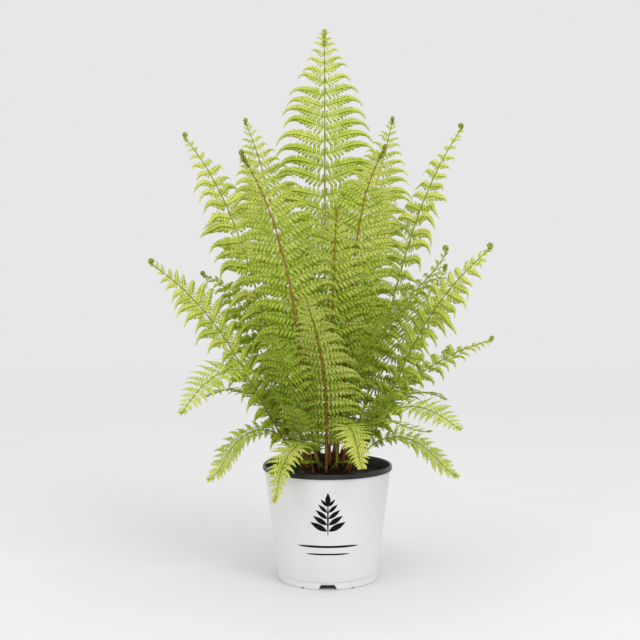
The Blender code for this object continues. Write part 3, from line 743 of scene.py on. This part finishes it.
def make_crown(scales, stalk):
    """The rootstock: a rough dome under brown scales, with broken stubs of old stalks."""
    rng = np.random.default_rng(SEED + 1)
    parts = Parts()
    base = SOIL_TOP + 0.3 * MM
    outline = [(0, base), (CROWN_RADIUS, base)]
    for index in range(1, CROWN_RINGS):
        radius = CROWN_RADIUS * cos(pi / 2 * index / CROWN_RINGS)
        outline.append((radius, max(base + 0.4 * MM, crown_height(radius))))
    outline.append((0, crown_height(0)))
    add_turned(
        parts, outline, CROWN_STEPS,
        lambda x, y, z: bumps((x, y, z), 5 * MM * (max(0.0, z - base) / CROWN_HEIGHT), 90),
    )
    outward = round_axis(rng.uniform(0, TURN, CROWN_FLAKES), np.array([1, 0, 0]), np.array([0, 1, 0]))
    distances = CROWN_RADIUS * 0.97 * np.sqrt(rng.uniform(0, 1, CROWN_FLAKES))
    lean = rng.uniform(0.1, 1.0, CROWN_FLAKES)[:, None] * (distances[:, None] / CROWN_RADIUS + 0.2)
    pointing = unit(outward * lean + (0, 0, 1) + rng.normal(0, 0.25, (CROWN_FLAKES, 3)))
    places = outward * distances[:, None]
    places[:, 2] = [crown_height(distance) - 1.5 * MM for distance in distances]
    facing = unit(np.cross(pointing, np.cross(outward, pointing) + 1e-6))
    lengths = rng.uniform(7, 15, CROWN_FLAKES) * MM
    add_blades(parts, SMALL_BLADE, places, pointing, facing, lengths, 0.26 * lengths, 0.3)
    for direction, distance, tilt, share in STUBS:
        add_stub(parts, rng, radians(direction), distance * MM, radians(tilt), share)
    piece = parts.piece("crown_scales", [scales, stalk])
    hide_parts("crown")


def add_stub(parts, rng, direction, distance, tilt, share):
    """A broken stalk with a ragged end and scales up its side."""
    length = STUB_LENGTH * share
    out_x, out_y = cos(direction), sin(direction)
    axis = np.array([sin(tilt) * out_x, sin(tilt) * out_y, cos(tilt)])
    across = np.array([-out_y, out_x, 0.0])
    upper = np.cross(axis, across)
    foot = np.array([distance * out_x, distance * out_y, crown_height(distance)])
    heights = np.linspace(-6 * MM, length, STUB_RINGS)
    angles = TURN * np.arange(STUB_SIDES) / STUB_SIDES
    ring = np.stack([np.cos(angles), np.sin(angles)], -1)
    section = []
    for height in heights:
        half = STUB_RADIUS * (1 - STUB_TAPER * max(0, height / length))
        section.append(half * (1 + rng.uniform(-0.09, 0.09, (STUB_SIDES, 1))) * ring)
    centres = foot + heights[:, None] * axis
    points = tube_points(centres, np.tile(across, (STUB_RINGS, 1)), np.tile(upper, (STUB_RINGS, 1)), section)
    points[-1] += rng.uniform(-3, 2, (STUB_SIDES, 1)) * MM * axis
    parts.add(points, tube_faces(STUB_RINGS, STUB_SIDES), slot=1, rust=0.85)
    around = rng.uniform(0, TURN, STUB_SCALES)
    outward = round_axis(around, across, upper)
    up = rng.uniform(0, 0.85, STUB_SCALES)[:, None] * length
    places = foot + up * axis + outward * STUB_RADIUS * (0.95 - STUB_TAPER * up / length)
    pointing = unit(axis + outward * rng.uniform(0.1, 0.6, (STUB_SCALES, 1)))
    lengths = rng.uniform(5, 11, STUB_SCALES) * MM
    add_blades(parts, SMALL_BLADE, places, pointing, outward, lengths, 0.28 * lengths, 0.3)


# Blades

Blade = namedtuple("Blade", "outline ridge faces")


def blade_template(outline, ridge, top):
    """A closed lens: outline points, a ridge of points above and one below, in shares of length and width."""
    count = len(outline)
    under = {count + index: count + len(ridge) + index for index in range(len(ridge))}
    bottom = [tuple(under.get(corner, corner) for corner in reversed(face)) for face in top]
    base = (0, count, count - 1, count + len(ridge))
    faces = top + bottom + [base]
    groups = [np.array([face for face in faces if len(face) == size]) for size in (3, 4)]
    return Blade(np.array(outline), np.array(ridge), groups)


LARGE_BLADE = blade_template(
    [(0, -0.5), (0.45, -0.5), (0.84, -0.36), (1, 0), (0.84, 0.36), (0.45, 0.5), (0, 0.5)],
    [(0, 0), (0.55, 0)],
    [(0, 1, 8, 7), (1, 2, 8), (2, 3, 8), (3, 4, 8), (4, 5, 8), (5, 6, 7, 8)],
)
SMALL_BLADE = blade_template(
    [(0, -0.42), (0.5, -0.5), (1, 0), (0.5, 0.5), (0, 0.42)],
    [(0, 0), (0.5, 0)],
    [(0, 1, 6, 5), (1, 2, 6), (2, 3, 6), (3, 4, 5, 6)],
)

def add_blades(parts, blade, places, pointing, facing, lengths, widths, bend, slot=0, sickle=0.0, **values):
    """Closed blades. The width axis is facing x pointing, and sickle shifts the tips along it."""
    facing = unit(facing - (facing * pointing).sum(-1, keepdims=True) * pointing)
    side = np.cross(facing, pointing)
    flat = np.vstack([blade.outline, blade.ridge, blade.ridge])
    edges = len(blade.outline)
    ridges = len(blade.ridge)
    lift = np.concatenate([np.zeros(edges), np.full(ridges, 0.5), np.full(ridges, -0.5)])
    u, v = flat.T[:, None, :, None]
    long = lengths[:, None, None]
    wide = widths[:, None, None]
    camber = -BLADE_CAMBER * wide * (2 * v) ** 2 - bend * long * u**2
    offset = camber + BLADE_THICKNESS * lift[None, :, None]
    points = places[:, None] + u * long * pointing[:, None] + v * wide * side[:, None]
    points = points + offset * facing[:, None] + np.reshape(sickle, (-1, 1, 1)) * long * u**2 * side[:, None]
    count = len(places)
    size = len(flat)
    first = size * np.arange(count)[:, None, None]
    faces = [(group[None] + first).reshape(-1, group.shape[1]) for group in blade.faces]
    rib = np.tile(np.concatenate([np.zeros(edges), np.ones(2 * ridges)]), count)
    under = np.tile(np.concatenate([np.zeros(edges + ridges), np.ones(ridges)]), count)
    spread = {name: np.repeat(np.broadcast_to(value, count), size) for name, value in values.items()}
    parts.add(points, faces, slot=slot, rib=rib, under=under, **spread)


# Fronds


def sampled(values, given, shares):
    """The points or vectors at some shares, from those at the given shares."""
    return np.stack([np.interp(shares, given, values[:, axis]) for axis in range(3)], -1)


def lean_at(leans, s):
    """The lean in degrees at share s of the length: a cubic through the four leans."""
    foot, third, two_thirds, tip = leans
    a, b, c = s - 1 / 3, s - 2 / 3, s - 1
    near = foot * -4.5 * a * b * c + third * 13.5 * s * b * c
    return near + two_thirds * -13.5 * s * a * c + tip * 4.5 * s * a * b


def frame_at(frond, s):
    """Unit vectors along the midrib, across the blade and out of its upper face at share s."""
    lean = np.radians(lean_at(frond.leans, s))
    azimuth = np.radians(frond.azimuth + frond.sway * s)
    along = np.stack([np.sin(lean) * np.cos(azimuth), np.sin(lean) * np.sin(azimuth), np.cos(lean)], -1)
    flat = np.stack([-np.sin(azimuth), np.cos(azimuth), np.zeros_like(azimuth)], -1)
    upper = np.cross(along, flat)
    roll = radians(frond.roll)
    across = cos(roll) * flat - sin(roll) * upper
    return along, across, cos(roll) * upper + sin(roll) * flat


def midrib_points(frond, shares):
    radius = frond.root[0] * MM
    angle = radians(frond.root[1])
    foot = np.array([radius * cos(angle), radius * sin(angle), crown_height(radius) + STALK_LIFT])
    fine = np.linspace(0, 1, COURSE_STEPS + 1)
    along, _, _ = frame_at(frond, (fine[1:] + fine[:-1]) / 2)
    path = np.vstack([foot, foot + np.cumsum(along * (frond.length * MM / COURSE_STEPS), axis=0)])
    return sampled(path, fine, shares)


def pinna_length(frond, blade_share):
    from_tip = 1 - blade_share
    power = 1.35 if frond.curled else 1.15
    widest = 0.7 if frond.name in TRIANGULAR else 0.42
    if from_tip < widest:
        length = frond.half * MM * sin(pi / 2 * from_tip / widest) ** power
        return length + YOUNG_PINNA * (1 - from_tip / widest)
    return frond.half * MM * (1 - 0.4 * ((from_tip - widest) / (1 - widest)) ** 1.5)


def pinna_shares(frond):
    blade_start = frond.stalk / frond.length
    even = (np.arange(frond.pairs) + 0.5) / frond.pairs
    return blade_start + (LAST_NODE - blade_start) * (1 - (1 - even) ** NODE_CROWDING)


def midrib_half(frond, share):
    size = sqrt(frond.length * MM / FULL_FROND)
    return MIDRIB_TIP_HALF + (MIDRIB_HALF * size - MIDRIB_TIP_HALF) * (1 - share) ** 0.5


def rust_at(frond, share):
    """How brown the midrib is: the foot always is, and a rusty frond's is far up."""
    reach = 0.06 + 1.2 * frond.rust**2
    foot = np.clip(1.0 - (share / reach) ** 1.5, 0.0, 1.0)
    return foot * (0.95 - 0.15 * frond.rust) + 0.25 * frond.rust * share


def add_midrib(parts, frond):
    """The grooved stalk and midrib, and the coil at a young frond's tip."""
    shares = np.linspace(0, 1, MIDRIB_RINGS)
    centres = midrib_points(frond, shares)
    _, across, upper = frame_at(frond, shares)
    halves = midrib_half(frond, shares) * (1 + 0.85 * np.exp(-shares * frond.length / 60))
    rust = rust_at(frond, shares)
    if frond.curled:
        spiral, normals, widths = coil(frond, centres[-1])
        centres = np.vstack([centres, spiral])
        across = np.vstack([across, np.tile(across[-1], (COIL_STEPS, 1))])
        upper = np.vstack([upper, normals])
        halves = np.concatenate([halves, widths])
        rust = np.concatenate([rust, np.full(COIL_STEPS, 0.05 + 0.25 * frond.rust)])
    section = np.array([(reach * cos(radians(a)), reach * sin(radians(a))) for a, reach in GROOVED])
    points = tube_points(centres, across, upper, halves[:, None, None] * section)
    parts.add(points, tube_faces(len(centres), len(GROOVED)), slot=1, rust=np.repeat(rust, len(GROOVED)))


def coil(frond, end):
    """Centres, outward normals and half-widths of the coiled tip, turning to the upper face."""
    along, _, upper = frame_at(frond, 1.0)
    size = min(1.0, frond.length * MM / FULL_COIL_FROND)
    rows = []
    centre = end
    step_turn = TURN * COIL_TURNS / COIL_STEPS
    for step in range(COIL_STEPS):
        turn = step_turn * (step + 1)
        share = (step + 0.5) / COIL_STEPS
        radius = size * (COIL_RADIUS + share * (COIL_END_RADIUS - COIL_RADIUS))
        middle = turn - step_turn / 2
        centre = centre + radius * step_turn * (cos(middle) * along + sin(middle) * upper)
        width = size * (0.9 + 1.2 * sin(pi * min(1, share + 0.2)) - 0.3 * share) * MM
        rows.append((centre, cos(turn) * upper - sin(turn) * along, width))
    return (np.array(column) for column in zip(*rows))


def add_coil_leaves(parts, frond, rng):
    """Packed young pinnae on both sides of the coil, four at each step."""
    _, across, _ = frame_at(frond, 1.0)
    centres, normals, widths = coil(frond, midrib_points(frond, 1.0))
    count = 4 * COIL_STEPS
    which = np.repeat(np.arange(COIL_STEPS), 4)
    side = np.tile([-1, 1, -1, 1], COIL_STEPS)[:, None] * across
    headings = unit(np.gradient(centres, axis=0))[which]
    pointing = side * rng.uniform(0.5, 1.1, (count, 1)) + normals[which] * rng.uniform(0.1, 1.2, (count, 1))
    pointing = unit(pointing + 0.5 * headings)
    places = centres[which] + side * widths[which][:, None] * 0.6
    lengths = rng.uniform(3.4, 6.2, count) * MM * min(1.0, frond.length * MM / 0.6)
    rust = np.clip(rng.uniform(0.15, 0.5, count) + 0.35 * frond.rust**2, 0, 1)
    facing = side + 0.3 * rng.normal(0, 1, (count, 3))
    widths = 0.62 * lengths
    add_blades(parts, SMALL_BLADE, places, pointing, facing, lengths, widths, 0.35, tone=0.9, rust=rust)


def add_tip_tuft(parts, frond, rng):
    """Young pinnae still folded along the last part of the midrib."""
    reach, brown = TUFTS.get(frond.name, TUFT)
    count = int(10 + 2.2 * reach)
    below = rng.uniform(0, 1, count) ** 1.1
    share = 1 - below * reach / frond.length
    along, across, upper = frame_at(frond, share)
    side = rng.choice([-1.0, 1.0], count)[:, None] * across
    pointing = along + side * rng.uniform(0.2, 0.75, (count, 1)) + upper * rng.uniform(-0.35, 0.5, (count, 1))
    places = midrib_points(frond, share) + side * 0.5 * midrib_half(frond, share)[:, None]
    lengths = (0.14 * reach + 2.2 + 3.5 * below) * rng.uniform(0.7, 1.2, count) * MM
    facing = upper + 0.5 * rng.normal(0, 1, (count, 3))
    rust = np.clip(brown + rng.normal(0, 0.12, count), 0, 1)
    widths = 0.42 * lengths
    add_blades(parts, SMALL_BLADE, places, unit(pointing), facing, lengths, widths, 0.3, tone=0.7, rust=rust)


def add_stalk_scales(parts, frond, rng):
    """Brown scales round the lower stalk, fewer higher up."""
    count = int(14 + 36 * min(1, frond.length / 600))
    share = rng.uniform(0, 1, count) ** 2 * min(0.8, frond.stalk / frond.length * 0.9)
    around = rng.uniform(0, TURN, count)
    along, across, upper = frame_at(frond, share)
    outward = round_axis(around, across, upper)
    places = midrib_points(frond, share) + outward * midrib_half(frond, share)[:, None]
    pointing = unit(along + outward * rng.uniform(0.05, 0.5, (count, 1)))
    lengths = rng.uniform(3, 8, count) * MM * (1 - 0.5 * share)
    add_blades(parts, SMALL_BLADE, places, pointing, outward, lengths, 0.3 * lengths, 0.25, slot=2)


def pinna_course(frond, rng, share, side, blade_share, length):
    """A pinna's costa: its points, headings, the axis towards the frond's tip and the upper normal."""
    along, across, upper = frame_at(frond, share)
    ragged = frond.name in RAGGED
    forward = 12 * (0.5 - blade_share) - 16 * max(0.0, blade_share - 0.8) / 0.2
    forward += 12 if frond.name in SPREADING else 0
    angle = radians(PINNA_ANGLE_DEG + forward + rng.normal(0, 2.5))
    rise = PINNA_LIFT + rng.normal(0, 0.05)
    outward = side * sin(angle) * across + cos(angle) * along + rise * upper
    fine = np.linspace(0, 1, PATH_STEPS + 1)
    middles = (fine[1:] + fine[:-1]) / 2
    droop = frond.droop * rng.uniform(0.8, 1.2)
    heading = unit(outward - np.outer(1.1 * droop * middles ** (2.5 if ragged else 4), (0, 0, 1)))
    if ragged:
        waves = rng.uniform(0, TURN, 2)
        wave = 0.35 * np.sin(TURN * 1.1 * middles + waves[0])[:, None] * along
        wave += 0.35 * np.sin(TURN * 0.9 * middles + waves[1])[:, None] * upper
        heading = unit(heading + wave * middles[:, None] ** 0.5)
    elif frond.curled and blade_share > 0.9:
        curl = 1.6 * (blade_share - 0.9) / 0.1 * middles[:, None] ** 1.5
        heading = unit(np.cos(curl) * heading + np.sin(curl) * (upper + 0.3 * along))
    start = midrib_points(frond, share) + side * across * 0.4 * midrib_half(frond, share)
    path = np.vstack([start, start + np.cumsum(heading * length / PATH_STEPS, axis=0)])
    ends = unit(np.vstack([heading[:1], (heading[1:] + heading[:-1]) / 2, heading[-1:]]))
    broad = unit(along - (ends @ along)[:, None] * ends)
    return fine, path, ends, broad, -side * np.cross(ends, broad)


def profile(share):
    """Half-width along a pinna, as a share of its widest: broad at the foot, drawn out at the tip."""
    return np.minimum(1.0, 0.86 + 1.4 * share) * (1 - share) ** 0.95 * (1 + 0.28 * np.sin(np.pi * share))


def add_pinna(parts, frond, rng, share, side, gap):
    """A costa and its pairs of pinnules, on one side of the midrib."""
    blade_start = frond.stalk / frond.length
    blade_share = (share - blade_start) / (1 - blade_start)
    merged = frond.name in MERGED
    limits = (0.84, 1.2) if frond.name in RAGGED else (0.95, 1.04)
    length = pinna_length(frond, blade_share) * rng.uniform(*limits)
    length *= 1.12 if frond.name in SPREADING else 1
    if length < SHORTEST_PINNA:
        return
    fine, path, headings, broads, normals = pinna_course(frond, rng, share, side, blade_share, length)
    widest = min(0.14 * length + 3 * MM, 0.52 * gap + 3 * MM)
    tone = frond.tone + 0.55 * (blade_share - 0.42) + rng.normal(0, 0.05)
    add_costa(parts, fine, path, -side * broads, normals, length, widest, tone, MERGED_WEB if merged else WEB)
    pairs = int(np.clip(4 + 88 * length, 4, MOST_PINNULES))
    even = (np.arange(pairs) + 0.6) / pairs
    shares = np.repeat(1.12 * even - 0.12 * even**2, 2) * 0.97
    count = len(shares)
    shares = np.clip(shares + rng.normal(0, 0.004, count), 0.01, LAST_SHARE)
    half = np.tile([1.0, -1.0], pairs)
    heading, broad, normal = (unit(sampled(vectors, fine, shares)) for vectors in (headings, broads, normals))
    lengths = widest * profile(shares) * rng.uniform(0.92, 1.08, count)
    lengths = np.maximum(lengths, 0.9 * MM) * np.where(half < 0, 1.12, 0.94)
    widths = length / pairs * (1.0 + 0.25 * shares if merged else 0.74 + 0.48 * shares)
    turn = np.radians(72 - 30 * shares + rng.normal(0, 3, count))[:, None]
    pointing = np.cos(turn) * heading + np.sin(turn) * half[:, None] * broad
    pointing = unit(pointing - rng.normal(0.10, 0.08, (count, 1)) * normal)
    facing = unit(normal + rng.normal(0, 0.10, (count, 1)) * heading)
    tones = tone + rng.normal(0, 0.04, count) + 0.1 * shares
    places = sampled(path, fine, shares)
    small = lengths < LARGE_PINNULE
    for blade, chosen in ((LARGE_BLADE, ~small), (SMALL_BLADE, small)):
        if chosen.any():
            lines = (values[chosen] for values in (places, pointing, facing, lengths, widths))
            add_blades(parts, blade, *lines, 0.12, sickle=-0.1 * side * half[chosen], tone=tones[chosen])
    tip_size = np.array([length])
    add_blades(
        parts, SMALL_BLADE, path[-2:-1], headings[-1:], normals[-1:], 0.09 * tip_size, 0.03 * tip_size, 0.1,
        tone=tone + 0.1,
    )


def add_costa(parts, fine, path, across, normals, length, widest, tone, web):
    """A pinna's rib with a narrow green wing on each side, which joins the pinnules' feet."""
    shares = np.linspace(0, LAST_SHARE, COSTA_RINGS)
    thick = np.interp(shares, (0, 1), (0.28 * MM + 0.0035 * length, 0.16 * MM))
    wing = thick + widest * profile(shares) * (web + 0.6 * shares**1.5)
    corners = ((1, 0), (0, 1), (-1, 0), (0, -1))
    section = np.stack([np.stack([wing * wide, thick * high], -1) for wide, high in corners], 1)
    centres, across, normals = (sampled(vectors, fine, shares) for vectors in (path, across, normals))
    rib = np.tile([0.0, 1.0, 0.0, 1.0], COSTA_RINGS)
    parts.add(tube_points(centres, across, normals, section), tube_faces(COSTA_RINGS, 4), tone=tone, rib=rib)


def make_frond(frond, index, materials):
    rng = np.random.default_rng(SEED + 100 + index)
    parts = Parts()
    add_midrib(parts, frond)
    add_stalk_scales(parts, frond, rng)
    if frond.curled:
        add_coil_leaves(parts, frond, rng)
    add_tip_tuft(parts, frond, rng)
    nodes = pinna_shares(frond)
    gaps = np.gradient(nodes) * frond.length * MM
    for share, gap in zip(nodes, gaps):
        for side in (-1, 1):
            add_pinna(parts, frond, rng, share + rng.normal(0, 0.002), side, gap)
    piece = parts.piece(frond.name + "_leaf", materials)
    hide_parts(frond.name)


# Studio


def make_floor():
    points, faces = turned([(radius, 0) for radius in FLOOR_RADII], FLOOR_STEPS)
    floor = placed_mesh("floor", points, faces[:-FLOOR_STEPS])
    floor.data.materials.append(floor_material())


def make_studio():
    world = bpy.data.worlds.new("studio")
    world.use_nodes = True
    nodes = world.node_tree.nodes
    lit, seen = nodes["Background"], nodes.new("ShaderNodeBackground")
    for background, strength in ((lit, WORLD_LIGHT), (seen, BACKDROP)):
        background.inputs["Color"].default_value = (1, 1, 1, 1)
        background.inputs["Strength"].default_value = strength
    both = nodes.new("ShaderNodeMixShader")
    link = world.node_tree.links.new
    link(nodes.new("ShaderNodeLightPath").outputs["Is Camera Ray"], both.inputs["Fac"])
    link(lit.outputs["Background"], both.inputs[1])
    link(seen.outputs["Background"], both.inputs[2])
    link(both.outputs["Shader"], nodes["World Output"].inputs["Surface"])
    bpy.context.scene.world = world
    bpy.context.scene.view_settings.view_transform = "Standard"
    for name, place, size, power in LIGHTS:
        light = bpy.data.lights.new(name, "AREA")
        light.shape = "DISK"
        light.size = size
        light.energy = power
        lamp = placed(name, light)
        lamp.location = place
        lamp.rotation_euler = (Vector(LIT_POINT) - Vector(place)).to_track_quat("-Z", "Y").to_euler()


def make_camera():
    camera = bpy.data.cameras.new("camera")
    camera.lens = CAMERA_LENS
    camera.sensor_width = CAMERA_SENSOR
    eye = placed("camera", camera)
    eye.location = CAMERA_PLACE
    eye.rotation_euler = (radians(90 - CAMERA_DROP_DEG), 0, 0)
    bpy.context.scene.camera = eye


def main():
    leaf = leaf_material()
    stalk = stalk_material()
    scales = plain_material("scales")
    make_pot(plain_material("pot_white"), plain_material("pot_black"))
    make_print(plain_material("print_ink"))
    make_soil(plain_material("soil"))
    make_crown(scales, stalk)
    for index, frond in enumerate(FRONDS):
        make_frond(frond, index, [leaf, stalk, scales])
    make_floor()
    make_studio()
    make_camera()


main()
